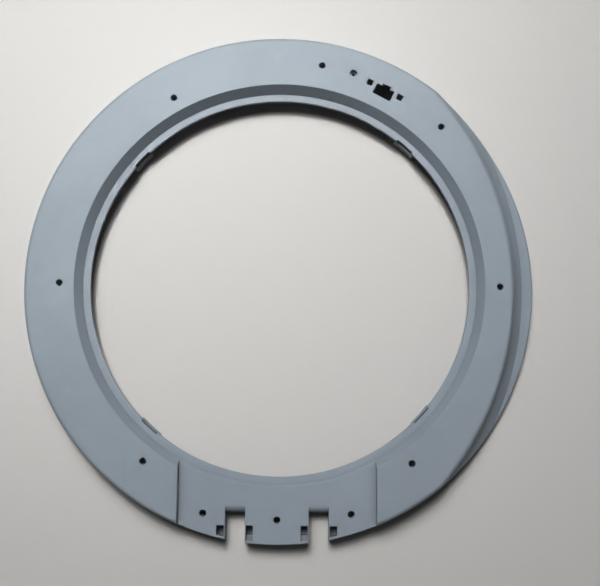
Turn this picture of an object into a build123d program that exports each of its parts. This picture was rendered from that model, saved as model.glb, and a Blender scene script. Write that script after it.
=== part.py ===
from build123d import *
import os
from math import cos, degrees, radians, sin, tan

# Inner door ring of a front-loading washing machine, moulded in one piece.
# Frame: the rear rim lies on z = 0, the face looks up +Z, the ring's axis is the Z axis.
# The hinge side is -Y and the grip side is +X.  Lengths are in millimetres, angles in degrees.
# An inset is a distance from the face's outer edge towards the ring's axis.

# Ring section
face_diameter = 470.0
ring_height = 29.0
ring_width = 59.25
wall = 2.5
skirt_draft = 5.0
edge_round = 4.0
ledge_width = 6.75
ledge_drop = 10.7
ledge_chamfer = 0.6
bevel_width = 6.5

# Lowered hinge panel
panel_width = 178.5
panel_drop = 7.5
panel_draft = 2.0
panel_edge_round = 0.6
step_crown_round = 0.7

# Hinge slots, open through the skirt
slot_spacing = 75.1
slot_width = 17.8
slot_inset = 27.7
slot_roll = 6.8

# Pockets beside the hinge slots
pocket_bridge = 0.9
pocket_inset = 16.2
pocket_lip = 2.2
pocket_depth = 14.0
pocket_floor = 1.8
side_pocket_width = 6.8
tongue_pocket_width = 6.3
pocket_seat_inset = 7.7
pocket_seat_depth = 5.0

# Grip scoop: a wall and ramp turned about an axis of their own, down to a lip round the ring's axis
grip_width = 20.6
grip_axis_offset = 64.4
grip_crown_round = 4.0
grip_wall_drop = 11.0
grip_wall_angle = 68.0
grip_foot_round = 30.0
grip_ramp_angle = 44.0
grip_lip_inset = 7.0
grip_lip_drop = 18.5
grip_lip_angle = 7.0
grip_lip_round = 2.0

# Screws: clearance holes in bosses
screw_hole = 6.2
boss_diameter = 11.2
boss_bottom = 10.0
side_screw_inset = 32.7
side_screw_drop = 1.8
lower_screw_angle = 36.6
upper_screw_angle = 30.2
hinge_screw_spacing = 133.2
hinge_screw_inset = 26.8
middle_screw_inset = 21.2

# Latch seat
latch_angle = 62.3
latch_inset = 29.1
latch_length = 18.2
latch_width = 10.2
latch_tab_length = 8.4
latch_tab_width = 2.6
latch_clip = 5.5
latch_clip_spacing = 31.4
latch_clip_inset = 26.4
latch_screw_spacing = 126.4
latch_screw_inset = 33.3
pin_hole_inset = 26.0
pin_hole_side = 33.6
pin_hole = 2.7
pin_bore = 6.8
pin_bore_depth = 4.5

# Snap hooks under notches in the ledge
snap_angles = (48.8, 138.0, 228.4, 317.6)
snap_notch_length = 18.4
snap_notch_depth = 2.0
snap_length = 22.5
snap_setback = 0.3
snap_leg = 2.0
snap_gap = 0.55
snap_tongue = 1.2
snap_floor = 1.6
snap_bottom = 2.5
snap_tongue_drop = 5.5
snap_nose = 0.4
snap_nose_drop = 2.5

# Ribs in the hollow: one round the glass seat, and spokes out from it
seat_rib_gap = 3.0
seat_rib_bottom = 8.0
rib_wall = 1.8
rib_pitch = 15.0
rib_bottom = 12.0
rib_free_sectors = ((50.0, 74.0), (250.0, 290.0))

# Sizes that follow from those above
face_z = ring_height
ledge_z = face_z - ledge_drop
panel_z = face_z - panel_drop
face_radius = face_diameter / 2
rim_radius = face_radius + ring_height * tan(radians(skirt_draft))
opening_radius = face_radius - ring_width
bevel_foot_radius = opening_radius + ledge_width
bevel_radius = bevel_foot_radius + bevel_width
seat_rib_radius = bevel_radius + seat_rib_gap
pocket_reach = face_radius + panel_drop * tan(radians(skirt_draft)) - pocket_lip

# Cutters run on past the ring, and past a rounded crown by a number of its rounds and a hair's rise
clear_of_ring = 2 * rim_radius
crown_run = 4.0
scoop_run = 2.0
scoop_rise = 0.02
slot_rise = 0.002
tolerance = 0.01


def polar(reach, angle, side=0.0):
    """Point at a reach along a direction from the ring's axis, and to the clockwise side of it."""
    along = radians(angle)
    return (reach * cos(along) + side * sin(along), reach * sin(along) - side * cos(along))


def grip_cutter(inset):
    """Space of the grip scoop, or of its underside when it is grown by the wall."""
    crown = face_radius - grip_width + grip_axis_offset
    foot = crown + grip_wall_drop / tan(radians(grip_wall_angle))
    far = rim_radius + grip_axis_offset + 2 * wall
    ramp_fall = (far - foot) * tan(radians(grip_ramp_angle))
    lip_z = face_z - grip_lip_drop
    lip_reach = rim_radius + 2 * wall
    lip_start = face_radius - grip_lip_inset
    rise = scoop_rise + 2 * inset
    crown_round = 0 if inset else grip_crown_round
    # Both profiles are drawn on the side away from the grip, so that their seams lie off it
    with BuildPart() as cutter:
        with BuildSketch(Plane(origin=(-grip_axis_offset, 0, 0), x_dir=(-1, 0, 0), z_dir=(0, 1, 0))):
            with BuildLine():
                FilletPolyline(
                    (crown - scoop_run * grip_crown_round, face_z + rise),
                    (crown, face_z),
                    (foot, face_z - grip_wall_drop),
                    (far, face_z - grip_wall_drop - ramp_fall),
                    (far, face_z + rise),
                    radius=[0, crown_round, grip_foot_round, 0, 0],
                    close=True,
                )
            make_face()
            if inset:
                offset(amount=inset, kind=Kind.INTERSECTION)
        revolve(axis=Axis((-grip_axis_offset, 0, 0), (0, 0, 1)))
        with BuildSketch(Plane(origin=(0, 0, 0), x_dir=(-1, 0, 0), z_dir=(0, 1, 0))):
            with BuildLine():
                Polyline(
                    (bevel_radius, lip_z + (lip_start - bevel_radius) * tan(radians(grip_lip_angle))),
                    (lip_reach, lip_z - (lip_reach - lip_start) * tan(radians(grip_lip_angle))),
                    (lip_reach, 2 * face_z),
                    (bevel_radius, 2 * face_z),
                    close=True,
                )
            make_face()
            if inset:
                offset(amount=inset, kind=Kind.INTERSECTION)
        revolve(axis=Axis.Z, mode=Mode.INTERSECT)
    return cutter.part


def moulded_form(inset):
    """Solid under the ring's outer skin, or under that skin moved inwards by the wall.

    The inset form runs on past the rear rim and the opening, because the hollow is open there.
    """
    bottom = -2 * inset
    inner = opening_radius - 2 * inset
    corner_rounds = [0, 0, 0, 0, 0, 0, 0] if inset else [0, 0, 0, 0, 0, edge_round, 0]
    panel_foot = panel_width / 2 - panel_drop * tan(radians(panel_draft))
    step_edge = panel_width / 2 + crown_run * step_crown_round
    grip = grip_cutter(inset)
    with BuildPart() as form:
        with BuildSketch(Plane.YZ):
            with BuildLine():
                FilletPolyline(
                    (inner, bottom),
                    (inner, ledge_z - ledge_chamfer),
                    (inner + ledge_chamfer, ledge_z),
                    (bevel_foot_radius, ledge_z),
                    (bevel_radius, face_z),
                    (face_radius, face_z),
                    (face_radius + (face_z - bottom) * tan(radians(skirt_draft)), bottom),
                    radius=corner_rounds,
                    close=True,
                )
            make_face()
            if inset:
                offset(amount=-inset, kind=Kind.INTERSECTION)
        revolve(axis=Axis.Z)

        # Lowered panel between two straight steps
        with BuildSketch(Plane.XZ):
            with BuildLine():
                FilletPolyline(
                    (-step_edge, face_z + step_crown_round),
                    (-panel_width / 2, face_z),
                    (-panel_foot, panel_z),
                    (panel_foot, panel_z),
                    (panel_width / 2, face_z),
                    (step_edge, face_z + step_crown_round),
                    radius=[0, step_crown_round, 0, 0, step_crown_round, 0],
                    close=True,
                )
            make_face()
            if inset:
                offset(amount=inset, kind=Kind.INTERSECTION)
        extrude(amount=clear_of_ring, mode=Mode.SUBTRACT)

        add(grip, mode=Mode.SUBTRACT)

        # Hinge slots with a rolled closed end
        slot_end = face_radius - slot_inset
        slot_run = slot_end - crown_run * slot_roll
        for middle in (-slot_spacing / 2, slot_spacing / 2):
            with BuildSketch(Plane.YZ.offset(middle)):
                with BuildLine():
                    FilletPolyline(
                        (-clear_of_ring, -ring_height),
                        (-slot_end, -ring_height),
                        (-slot_end, panel_z),
                        (-slot_run, panel_z + slot_rise),
                        (-slot_run, face_z),
                        (-clear_of_ring, face_z),
                        radius=[0, 0, slot_roll, 0, 0, 0],
                        close=True,
                    )
                make_face()
                if inset:
                    offset(amount=inset, kind=Kind.INTERSECTION)
            extrude(amount=slot_width / 2 + inset, both=True, mode=Mode.SUBTRACT)

        # Small rounds on the outer edges that the cuts left sharp
        if not inset:
            slot_zone = slot_spacing / 2 + slot_width
            level = form.edges().filter_by_position(Axis.Z, panel_z - tolerance, panel_z + tolerance)
            panel_rim = level.filter_by(GeomType.CIRCLE).group_by(SortBy.RADIUS)[-1]
            slot_sides = level.filter_by(Axis.Y).filter_by_position(Axis.X, -slot_zone, slot_zone)
            fillet([*panel_rim, *slot_sides], radius=panel_edge_round)
            low_edges = form.edges().filter_by_position(Axis.Z, tolerance, panel_z - tolerance)
            lip_rim = low_edges.filter_by(GeomType.CIRCLE).filter_by_position(Axis.X, face_radius, rim_radius)
            fillet(lip_rim, radius=grip_lip_round)
    return form.part


def pocket_outline(start, end, grown=0.0, side_pockets=True):
    """Rectangles of the pockets beside the hinge slots, cut off by an arc inside the skirt."""
    length = end - start
    tongue_x = slot_spacing / 2 - slot_width / 2 - pocket_bridge - tongue_pocket_width / 2
    side_x = slot_spacing / 2 + slot_width / 2 + pocket_bridge + side_pocket_width / 2
    with Locations((-tongue_x, -start - length / 2), (tongue_x, -start - length / 2)):
        Rectangle(tongue_pocket_width + 2 * grown, length + 2 * grown)
    if side_pockets:
        with Locations((-side_x, -start - length / 2), (side_x, -start - length / 2)):
            Rectangle(side_pocket_width + 2 * grown, length + 2 * grown)
    Circle(pocket_reach + grown, mode=Mode.INTERSECT)


def bent_block(points, middle, length, mode):
    """Section drawn in radius and height, bent round the ring's axis over a length at the opening."""
    span = degrees(length / opening_radius)
    with BuildSketch(Plane.XZ.rotated((0, 0, middle - span / 2))) as section:
        with BuildLine():
            Polyline(*points, close=True)
        make_face()
    revolve(section.sketch, axis=Axis.Z, revolution_arc=span, mode=mode)


# Places of the screws, looking at the face with the hinge side down
screw_circle = face_radius - side_screw_inset
latch_screw_reach = face_radius - latch_screw_inset
hinge_screw_reach = face_radius - hinge_screw_inset
latch_screws = [polar(latch_screw_reach, latch_angle, side * latch_screw_spacing / 2) for side in (-1, 1)]
side_screws = [(side * screw_circle, -side_screw_drop) for side in (-1, 1)]
lower_screws = [polar(screw_circle, -90 + side * lower_screw_angle) for side in (-1, 1)]
upper_screw = polar(screw_circle, 90 + upper_screw_angle)
hinge_screws = [(side * hinge_screw_spacing / 2, -hinge_screw_reach) for side in (-1, 1)]
middle_screw = (0, -(face_radius - middle_screw_inset))
screws = [*latch_screws, *side_screws, *lower_screws, upper_screw, *hinge_screws, middle_screw]
pin_place = polar(face_radius - pin_hole_inset, latch_angle, -pin_hole_side)

# Spokes stand at an even pitch, except behind the latch and between the hinge slots
rib_angles = [
    step * rib_pitch
    for step in range(int(360 / rib_pitch))
    if not any(low < step * rib_pitch < high for low, high in rib_free_sectors)
]

# Places of the pockets, from the ring's axis
pocket_start = face_radius - pocket_inset
pocket_seat_start = face_radius - pocket_seat_inset

# Hollow under the moulded wall, less what stands in it
with BuildPart() as hollow:
    add(moulded_form(wall))
    with Locations(*[(x, y, boss_bottom) for x, y in [*screws, pin_place]]):
        Cylinder(
            boss_diameter / 2,
            ring_height,
            align=(Align.CENTER, Align.CENTER, Align.MIN),
            mode=Mode.SUBTRACT,
        )
    with BuildSketch(Plane.XY.offset(seat_rib_bottom)):
        Circle(seat_rib_radius + rib_wall)
        Circle(seat_rib_radius, mode=Mode.SUBTRACT)
    extrude(amount=ring_height, mode=Mode.SUBTRACT)
    for angle in rib_angles:
        with Locations(Location((*polar(seat_rib_radius, angle), rib_bottom), (0, 0, angle))):
            Box(
                rim_radius - seat_rib_radius,
                rib_wall,
                ring_height,
                align=(Align.MIN, Align.CENTER, Align.MIN),
                mode=Mode.SUBTRACT,
            )
    with BuildSketch(Plane.XY.offset(panel_z)):
        pocket_outline(pocket_start, rim_radius, grown=pocket_floor)
    extrude(amount=-pocket_depth - pocket_floor, mode=Mode.SUBTRACT)

# The ring: the outer form less its hollow, with its holes, pockets and snap hooks
with BuildPart() as inner_door_ring:
    add(moulded_form(0.0))
    add(hollow.part, mode=Mode.SUBTRACT)

    with Locations(*[(x, y, face_z) for x, y in screws]):
        Hole(screw_hole / 2, depth=ring_height)
    with Locations((*pin_place, face_z)):
        CounterBoreHole(pin_hole / 2, pin_bore / 2, pin_bore_depth, depth=ring_height)

    # Latch seat: the hook's opening with its key tab, between two square clip holes
    latch_reach = face_radius - latch_inset
    clip_reach = face_radius - latch_clip_inset
    with BuildSketch(Plane.XY.offset(face_z)):
        with Locations(Location((*polar(latch_reach, latch_angle), 0), (0, 0, latch_angle))):
            Rectangle(latch_width, latch_length)
        tab_place = polar(latch_reach + latch_width / 2, latch_angle)
        with Locations(Location((*tab_place, 0), (0, 0, latch_angle))):
            Rectangle(2 * latch_tab_width, latch_tab_length)
        for side in (-1, 1):
            clip_place = polar(clip_reach, latch_angle, side * latch_clip_spacing / 2)
            with Locations(Location((*clip_place, 0), (0, 0, latch_angle))):
                Rectangle(latch_clip, latch_clip)
    extrude(amount=-2 * wall, mode=Mode.SUBTRACT)

    # Pockets beside the slots; those of the middle tongue have a raised seat at their outer end
    with BuildSketch(Plane.XY.offset(panel_z)):
        pocket_outline(pocket_start, rim_radius)
        with Locations((0, -pocket_seat_start)):
            Rectangle(
                slot_spacing - slot_width,
                rim_radius,
                align=(Align.CENTER, Align.MAX),
                mode=Mode.SUBTRACT,
            )
    extrude(amount=-pocket_depth, mode=Mode.SUBTRACT)
    with BuildSketch(Plane.XY.offset(panel_z)):
        pocket_outline(pocket_seat_start, rim_radius, side_pockets=False)
    extrude(amount=-pocket_seat_depth, mode=Mode.SUBTRACT)

    # Snap hooks: a leg under the ledge turns up again into a nosed tongue in the notch
    ledge_middle_z = ledge_z - wall / 2
    notch_bottom = ledge_z - 2 * wall
    leg_inside = opening_radius + snap_notch_depth + snap_setback
    tongue_outside = opening_radius + snap_notch_depth - snap_gap
    tongue_inside = tongue_outside - snap_tongue
    tongue_top = ledge_z - snap_tongue_drop
    notch = [
        (opening_radius - snap_notch_depth, notch_bottom),
        (opening_radius + snap_notch_depth, notch_bottom),
        (opening_radius + snap_notch_depth, face_z),
        (opening_radius - snap_notch_depth, face_z),
    ]
    hook = [
        (leg_inside + snap_leg, ledge_middle_z),
        (leg_inside + snap_leg, snap_bottom),
        (tongue_inside, snap_bottom),
        (tongue_inside, tongue_top - 2 * snap_nose_drop),
        (tongue_inside - snap_nose, tongue_top - snap_nose_drop),
        (tongue_inside, tongue_top),
        (tongue_outside, tongue_top),
        (tongue_outside, snap_bottom + snap_floor),
        (leg_inside, snap_bottom + snap_floor),
        (leg_inside, ledge_middle_z),
    ]
    for angle in snap_angles:
        bent_block(notch, angle, snap_notch_length, Mode.SUBTRACT)
        bent_block(hook, angle, snap_length, Mode.ADD)

inner_door_ring.part.label = "inner_door_ring"
os.makedirs("parts", exist_ok=True)
export_step(inner_door_ring.part, "parts/inner_door_ring.step")
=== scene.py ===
from math import radians

import bpy
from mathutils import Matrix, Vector

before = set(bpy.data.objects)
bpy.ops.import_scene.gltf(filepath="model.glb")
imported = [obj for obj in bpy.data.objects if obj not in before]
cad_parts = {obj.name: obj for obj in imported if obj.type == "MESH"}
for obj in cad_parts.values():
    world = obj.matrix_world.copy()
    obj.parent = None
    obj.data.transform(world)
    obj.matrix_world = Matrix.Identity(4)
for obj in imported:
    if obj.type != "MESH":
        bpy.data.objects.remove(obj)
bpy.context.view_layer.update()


# Inner door ring: one injection moulding in blue-grey plastic with a fine spark-eroded grain.
# It carries the glass of the door behind its ledge, the hinge in its lowered panel and the latch hook.
# The shape is the moulding's own, so it stays as it is and takes only the finish.
def moulded_grey_plastic():
    material = bpy.data.materials.new("moulded_grey_plastic")
    material.use_nodes = True
    nodes = material.node_tree.nodes
    links = material.node_tree.links
    plastic = nodes["Principled BSDF"]
    place = nodes.new("ShaderNodeTexCoord")

    def mottle(scale, detail):
        noise = nodes.new("ShaderNodeTexNoise")
        noise.inputs["Scale"].default_value = scale
        noise.inputs["Detail"].default_value = detail
        links.new(place.outputs["Object"], noise.inputs["Vector"])
        return noise

    def share(source, none_at, full_at, most):
        amount = nodes.new("ShaderNodeMapRange")
        amount.inputs["From Min"].default_value = none_at
        amount.inputs["From Max"].default_value = full_at
        amount.inputs["To Max"].default_value = most
        links.new(source, amount.inputs["Value"])
        return amount.outputs["Result"]

    def tint(under, amount, colour):
        mix = nodes.new("ShaderNodeMixRGB")
        mix.inputs["Color2"].default_value = (*colour, 1.0)
        links.new(amount, mix.inputs["Fac"])
        links.new(under, mix.inputs["Color1"])
        return mix.outputs["Color"]

    # Pigment that is not quite even across the moulding
    cloud = mottle(scale=14.0, detail=5.0)
    pigment = nodes.new("ShaderNodeValToRGB")
    darker, paler = pigment.color_ramp.elements
    darker.position = 0.30
    darker.color = (0.285, 0.337, 0.385, 1.0)
    paler.position = 0.70
    paler.color = (0.315, 0.371, 0.423, 1.0)
    links.new(cloud.outputs["Fac"], pigment.inputs["Fac"])

    # Painted highlight: convex edges are painted lighter all round, where their rounded brinks catch
    # the light
    strongest_edge_highlight = 0.35
    soft_edge = nodes.new("ShaderNodeBevel")
    soft_edge.samples = 6
    soft_edge.inputs["Radius"].default_value = 0.0008
    geometry = nodes.new("ShaderNodeNewGeometry")
    turn = nodes.new("ShaderNodeVectorMath")
    turn.operation = "DOT_PRODUCT"
    links.new(soft_edge.outputs["Normal"], turn.inputs[0])
    links.new(geometry.outputs["Normal"], turn.inputs[1])
    edge_highlight = share(turn.outputs["Value"], none_at=0.98, full_at=0.80, most=strongest_edge_highlight)
    # The lighter edge colour is a painted highlight along every convex edge
    edge_highlighted = tint(pigment.outputs["Color"], edge_highlight, colour=(0.46, 0.52, 0.57))

    # Faint smudges of handling, dark and pale
    smear = mottle(scale=34.0, detail=7.0)
    smear.inputs["Roughness"].default_value = 0.62
    smudge = share(smear.outputs["Fac"], none_at=0.60, full_at=0.78, most=0.30)
    handled = tint(edge_highlighted, smudge, colour=(0.235, 0.270, 0.300))
    wipe = mottle(scale=21.0, detail=6.0)
    wipe.inputs["Distortion"].default_value = 1.2
    bloom = share(wipe.outputs["Fac"], none_at=0.58, full_at=0.74, most=0.35)
    wiped = tint(handled, bloom, colour=(0.365, 0.425, 0.475))

    # Painted shade: recesses, corners and the grip scoop are darkened by ambient occlusion, where the
    # walls keep light off
    recess_occlusion = nodes.new("ShaderNodeAmbientOcclusion")
    recess_occlusion.samples = 8
    recess_occlusion.only_local = True
    recess_occlusion.inputs["Distance"].default_value = 0.020
    painted_recess_shade = share(recess_occlusion.outputs["AO"], none_at=0.92, full_at=0.45, most=0.75)
    recess_shaded = tint(wiped, painted_recess_shade, colour=(0.150, 0.172, 0.190))
    # The darker colour in recesses is painted shade, not dust
    links.new(recess_shaded, plastic.inputs["Base Color"])

    # Fine grain of the mould over softly rounded edges
    grain = mottle(scale=1600.0, detail=2.0)
    bump = nodes.new("ShaderNodeBump")
    bump.inputs["Strength"].default_value = 0.35
    bump.inputs["Distance"].default_value = 0.00015
    links.new(grain.outputs["Fac"], bump.inputs["Height"])
    links.new(soft_edge.outputs["Normal"], bump.inputs["Normal"])
    links.new(bump.outputs["Normal"], plastic.inputs["Normal"])

    # Dark smudges and the convex edges under the painted highlight shine a little more than the grain
    sheen = nodes.new("ShaderNodeMath")
    sheen.operation = "MAXIMUM"
    links.new(smudge, sheen.inputs[0])
    links.new(edge_highlight, sheen.inputs[1])
    gloss = nodes.new("ShaderNodeMapRange")
    gloss.inputs["From Max"].default_value = strongest_edge_highlight
    gloss.inputs["To Min"].default_value = 0.54
    gloss.inputs["To Max"].default_value = 0.36
    links.new(sheen.outputs["Value"], gloss.inputs["Value"])
    links.new(gloss.outputs["Result"], plastic.inputs["Roughness"])
    plastic.inputs["IOR"].default_value = 1.5
    return material


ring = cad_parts["inner_door_ring"]
ring.data.materials.clear()
ring.data.materials.append(moulded_grey_plastic())


# Floor: a plain, pale and dull surface, wide enough to fill the view from every side.
# It catches the ring's shadow, and gives the ring only a little light back.
def pale_board():
    material = bpy.data.materials.new("pale_board")
    material.use_nodes = True
    nodes = material.node_tree.nodes
    links = material.node_tree.links
    board = nodes["Principled BSDF"]
    board.inputs["Roughness"].default_value = 0.9
    path = nodes.new("ShaderNodeLightPath")
    seen = nodes.new("ShaderNodeMath")
    seen.operation = "MAXIMUM"
    links.new(path.outputs["Is Camera Ray"], seen.inputs[0])
    links.new(path.outputs["Is Glossy Ray"], seen.inputs[1])
    seen_through = nodes.new("ShaderNodeMath")
    seen_through.operation = "MAXIMUM"
    links.new(seen.outputs["Value"], seen_through.inputs[0])
    links.new(path.outputs["Is Transmission Ray"], seen_through.inputs[1])
    paint = nodes.new("ShaderNodeMixRGB")
    paint.inputs["Color1"].default_value = (0.16, 0.14, 0.12, 1.0)
    paint.inputs["Color2"].default_value = (0.70, 0.685, 0.66, 1.0)
    links.new(seen_through.outputs["Value"], paint.inputs["Fac"])
    links.new(paint.outputs["Color"], board.inputs["Base Color"])
    return material


floor_reach = 6.0
floor_gap = 0.0002
floor_mesh = bpy.data.meshes.new("floor")
floor_mesh.from_pydata(
    [(-floor_reach, -floor_reach, 0), (floor_reach, -floor_reach, 0),
     (floor_reach, floor_reach, 0), (-floor_reach, floor_reach, 0)],
    [],
    [(0, 1, 2, 3)],
)
floor = bpy.data.objects.new("floor", floor_mesh)
floor.location.z = -floor_gap
floor.data.materials.append(pale_board())
bpy.context.scene.collection.objects.link(floor)


# Light: a wide window high above the top of the ring, a little to the left, in a dim room.
# A gap in it throws a brighter pool on the top of the ring, so the hinge side stays darker.
def soft_lamp(name, place, target, size, spread, watts):
    lamp = bpy.data.lights.new(name, "AREA")
    lamp.shape = "DISK"
    lamp.size = size
    lamp.spread = radians(spread)
    lamp.energy = watts
    stand = bpy.data.objects.new(name, lamp)
    stand.location = place
    stand.rotation_euler = (Vector(target) - Vector(place)).to_track_quat("-Z", "Y").to_euler()
    bpy.context.scene.collection.objects.link(stand)


window_place = (-0.40, 1.62, 3.20)
ring_centre = (0.0, 0.0, 0.0)
past_ring_top = (-0.12, 0.30, 0.0)
soft_lamp("window", window_place, ring_centre, size=1.90, spread=180.0, watts=82.0)
soft_lamp("window_gap", window_place, past_ring_top, size=0.80, spread=14.0, watts=0.98)
room = bpy.data.worlds.new("dim_room")
room.use_nodes = True
air = room.node_tree.nodes["Background"]
air.inputs["Color"].default_value = (0.95, 0.97, 1.0, 1.0)
air.inputs["Strength"].default_value = 0.035
bpy.context.scene.world = room


# Camera: almost straight above the face, a little towards the hinge side.
# It stands close enough that the ring fills most of the view.
camera_data = bpy.data.cameras.new("camera")
camera_data.sensor_width = 36.0
camera_data.lens = 55.49
camera_data.shift_x = -0.0008
camera_data.shift_y = 0.0008
camera = bpy.data.objects.new("camera", camera_data)
camera.location = (0.02028, -0.11754, 0.8695)
camera.rotation_euler = (radians(7.31), 0.0, radians(0.55))
bpy.context.scene.collection.objects.link(camera)
bpy.context.scene.camera = camera
bpy.context.scene.view_settings.view_transform = "Standard"
